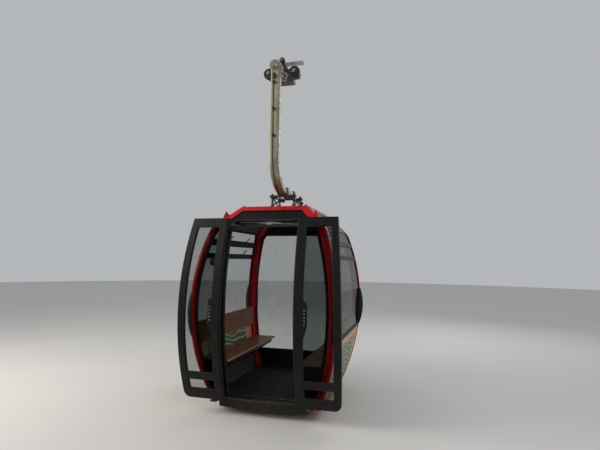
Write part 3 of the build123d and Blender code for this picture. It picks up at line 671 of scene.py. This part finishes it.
# Rivets on the lock covers, and screws through the walls into the frame behind them
lock_cover_x = 0.520
lock_cover_face = 0.1056
rivet = ((0.0065, -0.002), (0.0065, 0.0), (0.004, 0.0004))
rivets = bmesh.new()
for side, sign in SIDES:
    for height in steps(0.975, 1.115, 0.035):
        face_y = -bow(waist_y, height, lock_cover_face)
        place = Vector((sign * lock_cover_x, face_y, level(height)))
        lathe(rivets, place, DOOR, rivet, sides=12)
piece("lock_cover_rivets", rivets, aluminium, "carrier")

wall_screw = 0.005
wall_face = -0.008
wall_edge = 0.093
# Heights of the end walls' rows of screws, and how far each reaches from the middle
end_rows = ((0.125, 0.56), (0.728, 0.74), (0.760, 0.76), (1.649, 0.74), (1.819, 0.62))
wall_screws = bmesh.new()
for side, sign in SIDES:
    outward = Vector((sign, 0, 0))
    for height, reach in end_rows:
        for across in steps(-reach, reach, 0.22):
            screw(wall_screws, *on_wall(outward, across, height, wall_face), wall_screw)
    for height in steps(0.84, 1.58, 0.185):
        for way in (-1, 1):
            across = way * (bow(waist_y, height) - wall_edge)
            screw(wall_screws, *on_wall(outward, across, height, wall_face), wall_screw)
    for height in steps(0.20, 1.90, 0.2125):
        jamb_x = sign * 0.426
        screw(wall_screws, *on_wall(DOOR, jamb_x, height, wall_face), wall_screw)
        for facing in (DOOR, -DOOR):
            across = sign * (bow(waist_x, height) - wall_edge)
            screw(wall_screws, *on_wall(facing, across, height, wall_face), wall_screw)
for height in (0.20, 0.30):
    for across in steps(-0.5, 0.5, 0.25):
        screw(wall_screws, *on_wall(-DOOR, across, height, wall_face), wall_screw)
piece("wall_screws", wall_screws, dark_steel, "carrier")

# Red sheet that closes each corner post to the gaskets inside, up both of its walls
cover_inset = 0.083
cover_depth = -0.031
covers = bmesh.new()
for outward in (DOOR, -DOOR, Vector((1, 0, 0)), Vector((-1, 0, 0))):
    waist = waist_y if outward.x else waist_x
    for way in (-1, 1):
        line = [
            on_wall(outward, way * (bow(waist, height) - cover_inset), height, cover_depth)[0]
            for height in steps(0.13, 2.03, 0.05)
        ]
        sweep(covers, line, outward, 0.018, 0.0015, sides=4, closed=False)
piece("post_covers", covers, red, "carrier")

# Black coves where the floor meets the walls
cove_height = 0.124
cove_inset = 0.039
coves = bmesh.new()
for side, sign in SIDES:
    x = sign * (bow(waist_x, 0.13) - cove_inset)
    line = [Vector((x, y, level(cove_height))) for y in (-0.68, 0.68)]
    sweep(coves, line, (-sign, 0, 1), 0.021, 0.009, closed=False)
y = bow(waist_y, 0.13) - cove_inset
line = [Vector((x, y, level(cove_height))) for x in (-0.58, 0.58)]
sweep(coves, line, (0, -1, 1), 0.021, 0.009, closed=False)
piece("floor_coves", coves, rubber, "carrier")

# Black strip over the joint between each end wall's frame and its printed panel
joint_height = 0.745
joint_half = 0.815
joint_strips = bmesh.new()
for side, sign in SIDES:
    place, normal = on_wall((sign, 0, 0), 0.0, joint_height, wall_face)
    line = [place + Vector((0, across, 0)) for across in (-joint_half, joint_half)]
    sweep(joint_strips, line, normal, 0.009, 0.003, closed=False)
piece("panel_joint_strips", joint_strips, gel_coat, "carrier")

# Vent windows inside: sash frames, hinges along the top, a latch with its lever at the bottom
hinge_length = 0.06
hinge_pin = ((0.006, 0), (0.006, hinge_length))
latch_hub = ((0.011, 0), (0.011, 0.010), (0.007, 0.012))
latch_turn = math.radians(-35)
sashes = bmesh.new()
latches = bmesh.new()
for side, sign in SIDES:
    outward = Vector((sign, 0, 0))
    for loop in rims(f"vent_glass_{side}", -outward):
        sash = [p - outward * 0.010 for p in inset(loop, -outward, 0.012)]
        sweep(sashes, sash, -outward, 0.009, 0.007)
        low = min(p.z for p in loop) - floor_z
        high = max(p.z for p in loop) - floor_z
        for across in (-0.45, 0.45):
            start = across - hinge_length / 2
            hinge = on_wall(outward, start, high + 0.004, -0.036)[0]
            lathe(sashes, hinge, (0, 1, 0), hinge_pin, sides=10)
        for across in (-0.28, 0.28):
            place, normal = on_wall(outward, across, low + 0.010, -0.040)
            stand = set_at(place, -normal, (0, 1, 0))
            slab(latches, (-0.028, -0.011, -0.008), (0.028, 0.011, 0.010), 0.003, stand)
            lever = stand @ Matrix.Rotation(latch_turn * sign, 4, "Z")
            slab(latches, (-0.012, -0.009, 0.010), (0.125, 0.009, 0.018), 0.003, lever)
            lathe(latches, stand @ Vector((0, 0, 0.010)), -normal, latch_hub)
piece("vent_sashes", sashes, powder_black, "carrier")
piece("vent_latches", latches, lining, "carrier")

# Round ventilator in the fixed pane on the door's left: its rim, then its button
ventilator = bmesh.new()
rim = [(0.047, -0.012), (0.047, 0.006), (0.042, 0.011), (0.030, 0.012)]
button = [(0.028, 0.007), (0.012, 0.007), (0.010, 0.012), (0.004, 0.013)]
lathe(ventilator, *on_wall(DOOR, -0.568, 1.589, -0.013), rim + button, sides=32)
piece("pane_ventilator", ventilator, lining, "carrier")

# Benches: pale rounded front edges, and screws into the brackets
seat_top = 0.5195
nosings = bmesh.new()
bench_screws = bmesh.new()
for side, sign in SIDES:
    line = [Vector((sign * 0.3955, y, level(0.507))) for y in (-0.800, 0.800)]
    sweep(nosings, line, (-sign, 0, 0), 0.0095, 0.0025, sides=12, closed=False)
    for y in (-0.54, -0.03, 0.03, 0.54):
        for x in (0.46, 0.70):
            screw(bench_screws, (sign * x, y, level(seat_top)), UP, 0.006)
    for y in (-0.58, -0.19, 0.19, 0.58):
        for height in (0.765, 0.85):
            place, normal = on_wall((sign, 0, 0), y, height, -0.0795)
            screw(bench_screws, place, -normal, 0.007)
piece("bench_nosings", nosings, ply_edge, "carrier")
piece("bench_screws", bench_screws, stainless, "carrier")

# Floor: painted edge strip round the threshold's nose, rubber treads, trims at the mat's ends
threshold_top = 0.118
nose_y = -0.812
nose_bow = 0.040
mat_half_x = 0.395
floor_trim = bmesh.new()
treads = bmesh.new()
nose = [
    Vector((x, nose_y + nose_bow * (x / 0.5) ** 2, level(threshold_top)))
    for x in steps(-0.495, 0.495, 0.06)
]
upper_edge = [p + Vector((0, 0.005, 0)) for p in nose]
front_edge = [p + Vector((0, 0, -0.005)) for p in nose]
sweep(floor_trim, upper_edge, UP, 0.005, 0.0015, closed=False)
sweep(floor_trim, front_edge, DOOR, 0.005, 0.0015, closed=False)
for back in (0.044, 0.068):
    tread = [p + Vector((0, back, 0)) for p in nose]
    sweep(treads, tread, UP, 0.008, 0.003, closed=False)
for y in (-0.700, 0.700):
    low = (-mat_half_x, y - 0.012, level(0.1235))
    high = (mat_half_x, y + 0.012, level(0.1265))
    slab(floor_trim, low, high, 0.001)
piece("floor_edge_trims", floor_trim, dark_steel, "carrier")
piece("threshold_treads", treads, rubber, "carrier")

# Door gear over the doorway: pull rods with their clevises, rail screws and folding links
rod_radius = 0.0045
rod_y = -0.642
door_gear = bmesh.new()
for rod in (((-0.34, 2.047), (-0.05, 2.040)), ((0.03, 2.026), (0.37, 2.018))):
    start, end = [Vector((x, rod_y, level(height))) for x, height in rod]
    length = (end - start).length
    lathe(door_gear, start, end - start, ((rod_radius, 0), (rod_radius, length)), sides=12)
    for place in (start, end):
        low = place - Vector((0.016, 0.008, 0.009))
        high = place + Vector((0.016, 0.024, 0.009))
        slab(door_gear, low, high, 0.002)
        screw(door_gear, place - Vector((0, 0.008, 0)), DOOR, 0.005)
for x in (-0.045, 0.045):
    screw(door_gear, (x, -0.628, level(2.048)), DOOR, 0.006)
for side, sign in SIDES:
    stand = set_at((sign * 0.070, -0.632, level(2.036)), DOOR, (sign, 0, -0.12 * sign))
    slab(door_gear, (-0.012, -0.010, -0.003), (0.074, 0.010, 0.003), 0.002, stand)
    for along in (0.0, 0.062):
        screw(door_gear, stand @ Vector((along, 0, 0.003)), DOOR, 0.007)
piece("door_pull_rods", door_gear, stainless, "carrier")

# Bolts of the leaves' arms, above and below, and screws along the door's rail
arm_height = 2.010
door_bolts = bmesh.new()
for side, sign in SIDES:
    for x, y in ((0.36, -0.815), (0.45, -0.815), (0.351, -0.635)):
        bolt(door_bolts, (sign * x, y, level(arm_height)), UP, 0.010)
    for y in (-0.765, -0.800):
        bolt(door_bolts, (sign * 0.535, y, level(0.092)), UP, 0.009)
    for x in (0.12, 0.24):
        screw(door_bolts, (sign * x, -0.616, level(2.046)), DOOR, 0.006)
piece("door_gear_bolts", door_bolts, dark_steel, "carrier")

# Plugs over the bumpers' screws, on the bumpers' swollen middle
plug = ((0.011, -0.006), (0.011, 0.0005), (0.008, 0.0012))
plugs = bmesh.new()
for side, sign in SIDES:
    for height in (0.86, 1.14):
        swell = 0.008 + 0.028 * (1 - ((height - 1.0) / 0.24) ** 2)
        for way in (-1, 1):
            x = sign * (bow(waist_x, height) + swell)
            lathe(plugs, (x, way * 0.855, level(height)), (sign, 0, 0), plug, sides=20)
        y = bow(waist_y, height) + swell
        lathe(plugs, (sign * 0.755, y, level(height)), (0, 1, 0), plug, sides=20)
piece("bumper_plugs", plugs, lining, "carrier")

# Roof: sealant round its panel, screws through the ring
roof_top = 2.240
roof_sealant = bmesh.new()
panel_corners = ((-0.345, -0.445), (0.345, -0.445), (0.345, 0.445), (-0.345, 0.445))
panel_edge = [Vector((x, y, level(roof_top + 0.0005))) for x, y in panel_corners]
sweep(roof_sealant, panel_edge, UP, 0.006, 0.002)
piece("roof_sealant", roof_sealant, rubber, "carrier")
roof_screws = bmesh.new()
for x in (-0.368, 0.368):
    for y in steps(-0.42, 0.42, 0.14):
        screw(roof_screws, (x, y, level(roof_top)), UP, 0.007)
for y in (-0.468, 0.468):
    for x in steps(-0.30, 0.30, 0.15):
        screw(roof_screws, (x, y, level(roof_top)), UP, 0.007)
piece("roof_screws", roof_screws, stainless, "carrier")

# Red fins on the shoulders, each a blade on a screwed plate, upright towards the roof
blade = ((-0.040, 0.002), (-0.038, 0.056), (-0.030, 0.058), (0.040, 0.014), (0.042, 0.002))
blade_half = 0.006
fins = bmesh.new()
for sign_x, sign_y in itertools.product((-1, 1), repeat=2):
    # The shoulder's mitre falls outwards at the same slope both ways
    place = Vector((sign_x * 0.535, sign_y * 0.635, level(2.107)))
    up = Vector((sign_x, sign_y, 2)).normalized()
    stand = set_at(place, up, (sign_x, sign_y, -1))
    slab(fins, (-0.045, -0.020, -0.006), (0.045, 0.020, 0.004), 0.002, stand)
    corners = [stand @ Vector((x, y, z)) for x, z in blade for y in (-blade_half, blade_half)]
    bmesh.ops.convex_hull(fins, input=[fins.verts.new(corner) for corner in corners])
    for along in (-0.037, 0.037):
        screw(fins, stand @ Vector((along, 0, 0.004)), up, 0.005)
piece("shoulder_fins", fins, red, "carrier")

# Low black ball knob of the door's emergency release, on the roof's front edge
ball_radius = 0.018
ball_height = 0.032
knob = bmesh.new()
stem = [(0.016, 0), (0.016, 0.004), (0.009, 0.006), (0.008, 0.015)]
ball = [
    (ball_radius * math.sin(a), ball_height - ball_radius * math.cos(a))
    for a in steps(math.radians(28), math.radians(175), 0.3)
]
lathe(knob, (0.330, -0.470, level(roof_top)), UP, stem + ball, sides=24)
piece("release_knob", knob, lining, "carrier")

# Mast: washers and nuts on its rods, bolted feet, gussets, and straps over the arm
rod_x = 0.140
mast_y = 0.150
mast_plate = 2.418
strap_half = 0.028
fittings = bmesh.new()
for sign_x, sign_y in itertools.product((-1, 1), repeat=2):
    x = sign_x * rod_x
    y = sign_y * mast_y
    bolt(fittings, (x, y, level(mast_plate)), UP, 0.021)
    hex_nut(fittings, (x, y, level(2.286)), UP, 0.026, 0.020, ease=(0.002, 0.003))
    hex_nut(fittings, (x, y, level(2.385)), UP, 0.026, 0.017, ease=(0.002, 0.003))
    for height in (2.2405, 2.2705):
        lathe(fittings, (x, y, level(height)), UP, ((0.036, 0), (0.036, 0.003)), sides=28)
    bolt(fittings, (x, sign_y * 0.098, level(2.286)), UP, 0.009)
    near, far = sorted((sign_x * 0.070, sign_x * 0.118))
    slab(fittings, (near, y - 0.004, level(2.372)), (far, y + 0.004, level(2.402)), 0.001)
for y in (-mast_y, mast_y):
    low = (-0.066, y - strap_half, level(2.5055))
    high = (0.066, y + strap_half, level(2.5145))
    slab(fittings, low, high, 0.002)
    for sign in (-1, 1):
        near, far = sorted((sign * 0.0565, sign * 0.0655))
        low = (near, y - strap_half, level(2.455))
        high = (far, y + strap_half, level(2.508))
        slab(fittings, low, high, 0.001)
        bolt(fittings, (sign * 0.100, y, level(mast_plate)), UP, 0.011)
        bolt(fittings, (sign * 0.0655, y, level(2.442)), (sign, 0, 0), 0.009)
piece("mast_fittings", fittings, dark_steel, "carrier")

# Arm: its end cap, and uneven weld beads round the cap and under the hub
axle_z = -0.072
hub_radius = 0.0635
weld_wander = 0.22
cap_y = 0.2155
arm_welds = bmesh.new()
slab(arm_welds, (-0.052, 0.2145, level(2.422)), (0.052, 0.2205, level(2.502)), 0.003)
cap_outline = ((-0.051, 2.423), (0.051, 2.423), (0.051, 2.501), (-0.051, 2.501))
cap = [Vector((x, cap_y, level(height))) for x, height in cap_outline]
bead = []
for start, end in zip(cap, cap[1:] + cap[:1]):
    bead += [start.lerp(end, i / 12) for i in range(12)]
sweep(arm_welds, bead, -DOOR, 0.0035, 0.003, sides=6, rough=weld_wander)
for y, facing in ((-0.456, -DOOR), (-0.544, DOOR)):
    arc = []
    for angle in steps(math.radians(208), math.radians(332), math.radians(4)):
        x = hub_radius * math.cos(angle)
        z = axle_z + hub_radius * math.sin(angle)
        arc.append(Vector((x, y + facing.y * 0.001, z)))
    sweep(arm_welds, arc, facing, 0.004, 0.004, sides=6, closed=False, rough=weld_wander)
piece("arm_cap_and_welds", arm_welds, galvanised, "carrier")

# Control cable: its clips' screws, the nut and boot under its box, and its gland in the roof
cable_y = -0.580
cable_fittings = bmesh.new()
for clip_z in (-0.300, -0.620, -0.940):
    screw(cable_fittings, (0, -0.592, clip_z + 0.012), DOOR, 0.006)
box_nut = ((0.015, 0), (0.016, 0.002), (0.016, 0.014), (0.0145, 0.016))
boot = ((0.013, 0), (0.012, 0.008), (0.008, 0.014))
lathe(cable_fittings, (0, cable_y, -0.230), -UP, box_nut, sides=6)
lathe(cable_fittings, (0, cable_y, -0.246), -UP, boot, sides=20)
gland = (0.240, -0.226, level(roof_top))
gland_flange = ((0.024, 0), (0.024, 0.004), (0.022, 0.006))
gland_nut = ((0.017, 0.006), (0.018, 0.008), (0.018, 0.019), (0.017, 0.021))
gland_boot = ((0.014, 0.021), (0.013, 0.030), (0.0085, 0.037))
for shape, sides in ((gland_flange, 28), (gland_nut, 6), (gland_boot, 20)):
    lathe(cable_fittings, gland, UP, shape, sides=sides)
piece("cable_fittings", cable_fittings, lining, "carrier")

# Under the floor: two stiffening channels, the ties between them, and their bolts
channel_half = 0.035
flange = 0.006
channel_low = 0.028
floor_under = 0.0575
underframe = bmesh.new()
for x in (-0.30, 0.30):
    low = (x - channel_half, -0.62, level(channel_low))
    high = (x + channel_half, 0.62, level(channel_low + flange))
    slab(underframe, low, high, 0.001)
    for edge in (x - channel_half, x + channel_half - flange):
        low = (edge, -0.62, level(channel_low + flange))
        high = (edge + flange, 0.62, level(floor_under))
        slab(underframe, low, high, 0.001)
    for y in steps(-0.55, 0.55, 0.275):
        bolt(underframe, (x, y, level(channel_low)), -UP, 0.009)
for y in (-0.45, 0.0, 0.45):
    low = (-0.265, y - 0.03, level(0.040))
    high = (0.265, y + 0.03, level(floor_under))
    slab(underframe, low, high, 0.002)
piece("floor_underframe", underframe, dark_steel, "carrier")

# Grip: a rib round its roller beam, and webs above and below
rib_radius = 0.028
rib_y = -0.186
# The centres of its round corners, anticlockwise from the upper right
rib_corners = ((0.170, -0.052), (-0.170, -0.052), (-0.170, -0.068), (0.170, -0.068))
grip_ribs = bmesh.new()
outline = []
for quarter, (corner_x, corner_z) in enumerate(rib_corners):
    start = math.radians(90 * quarter)
    for angle in steps(start, start + math.radians(90), math.radians(15)):
        x = corner_x + rib_radius * math.cos(angle)
        z = corner_z + rib_radius * math.sin(angle)
        outline.append(Vector((x, rib_y, z)))
sweep(grip_ribs, outline, DOOR, 0.005, 0.005)
for x in (-0.095, 0.095):
    slab(grip_ribs, (x - 0.005, -0.142, -0.018), (x + 0.005, -0.101, 0.030), 0.002)
for x in (-0.085, -0.028, 0.028, 0.085):
    slab(grip_ribs, (x - 0.005, -0.120, -0.134), (x + 0.005, -0.045, -0.126), 0.002)
piece("grip_ribs", grip_ribs, iron, "grip")

# Grip: bolts round the axle, rings on the jaw pin, roller caps, and the drive plate's rivets
bolt_circle = 0.0455
roller_x = 0.165
roller_z = -0.060
pin_y = -0.062
pin_z = 0.052
pin_washer = ((0.027, 0.0), (0.027, 0.003), (0.025, 0.004))
pin_ring = ((0.021, 0.0055), (0.021, 0.008))
stud_end = ((0.011, 0.014), (0.011, 0.019), (0.009, 0.021))
plate_rivet = ((0.008, 0), (0.008, 0.0009), (0.004, 0.0004))
grip_bolts = bmesh.new()
for k in range(6):
    angle = math.tau * (k + 0.5) / 6
    x = bolt_circle * math.cos(angle)
    z = axle_z + bolt_circle * math.sin(angle)
    bolt(grip_bolts, (x, -0.204, z), DOOR, 0.0075)
for sign in (-1, 1):
    axis = (sign, 0, 0)
    pin = (sign * 0.112, pin_y, pin_z)
    lathe(grip_bolts, pin, axis, pin_washer, sides=28)
    lathe(grip_bolts, pin, axis, pin_ring, sides=20)
    roller_cap = (sign * roller_x, -0.322, roller_z)
    hex_nut(grip_bolts, roller_cap, DOOR, 0.023, 0.014, ease=(0.002, 0.002))
    lathe(grip_bolts, roller_cap, DOOR, stud_end, sides=16)
    for x in (0.066, 0.094):
        for y in (pin_y - 0.016, pin_y + 0.016):
            lathe(grip_bolts, (sign * x, y, 0.138), -UP, ((0.004, 0), (0.004, 0.003)), sides=6)
for x in steps(-0.19, 0.19, 0.095):
    for y in (-0.115, -0.041):
        lathe(grip_bolts, (x, y, 0.1510), UP, plate_rivet, sides=16)
piece("grip_bolts", grip_bolts, steel, "grip")

# Screws that turn with each roller, and the nut and screws that move with the lever
for side, sign in SIDES:
    roller_bolts = bmesh.new()
    for k in range(6):
        angle = math.tau * k / 6
        x = sign * roller_x + 0.040 * math.cos(angle)
        z = roller_z + 0.040 * math.sin(angle)
        for y, facing in ((-0.301, DOOR), (-0.269, -DOOR)):
            screw(roller_bolts, (x, y, z), facing, 0.007)
    piece(f"roller_bolts_{side}", roller_bolts, steel, f"roller_{side}")
lever_nut = ((0.013, 0), (0.014, 0.002), (0.014, 0.008), (0.012, 0.010))
lever_fittings = bmesh.new()
lathe(lever_fittings, (0, -0.299, 0.108), DOOR, lever_nut, sides=6)
for sign in (-1, 1):
    screw(lever_fittings, (sign * 0.020, pin_y, pin_z + 0.026), (sign, 0, 0), 0.004)
piece("lever_fittings", lever_fittings, steel, "jaw")

# Floor of the studio, just under the hanging cabin
floor_gap = 0.06
floor_radius = 30.0
floor_mesh = bmesh.new()
bmesh.ops.create_circle(floor_mesh, cap_ends=True, radius=floor_radius, segments=64)
floor_data = bpy.data.meshes.new("studio_floor")
floor_mesh.to_mesh(floor_data)
floor_mesh.free()
floor = bpy.data.objects.new("studio_floor", floor_data)
floor.location = (0, 0, floor_z - floor_gap)
floor_data.materials.append(pale_floor())
bpy.context.scene.collection.objects.link(floor)

# Soft light: a pale sky all round and three large panels
sky_strength = 0.58
world = bpy.data.worlds.new("studio_sky")
bpy.context.scene.world = world
world.use_nodes = True
sky = world.node_tree.nodes["Background"]
sky.inputs["Color"].default_value = linear("#e6e9ec")
sky.inputs["Strength"].default_value = sky_strength


def light(name, place, target, size, power, colour="#ffffff"):
    """A square panel of soft light that looks at a point."""
    data = bpy.data.lights.new(name, "AREA")
    data.size = size
    data.energy = power
    data.color = linear(colour)[:3]
    made = bpy.data.objects.new(name, data)
    made.location = place
    made.rotation_euler = (Vector(target) - Vector(place)).to_track_quat("-Z", "Y").to_euler()
    bpy.context.scene.collection.objects.link(made)


cabin_middle = (0, 0, level(1.2))
light("daylight_left", (-6.0, -3.5, level(4.5)), cabin_middle, 4.0, 400, "#fff8ee")
light("front_fill", (4.5, -6.0, level(3.5)), cabin_middle, 3.5, 90, "#f2f6ff")
light("back_rim", (3.0, 6.0, level(5.0)), cabin_middle, 3.0, 110)

# Camera where the photo was taken from: turned to its left, tilted up and rolled a little
camera_data = bpy.data.cameras.new("camera")
camera_data.sensor_width = 36.0
camera_data.lens = 26.24
camera = bpy.data.objects.new("camera", camera_data)
camera.location = (1.6405, -5.3123, level(1.6176))
turn = Matrix.Rotation(math.radians(15.35), 3, "Z")
tilt = Matrix.Rotation(math.radians(90 + 4.6), 3, "X")
roll = Matrix.Rotation(math.radians(0.73), 3, "Z")
camera.rotation_euler = (turn @ tilt @ roll).to_euler()
bpy.context.scene.collection.objects.link(camera)
bpy.context.scene.camera = camera

# A plain tone curve keeps the blacks and the red as deep as the photo's
bpy.context.scene.view_settings.view_transform = "Standard"
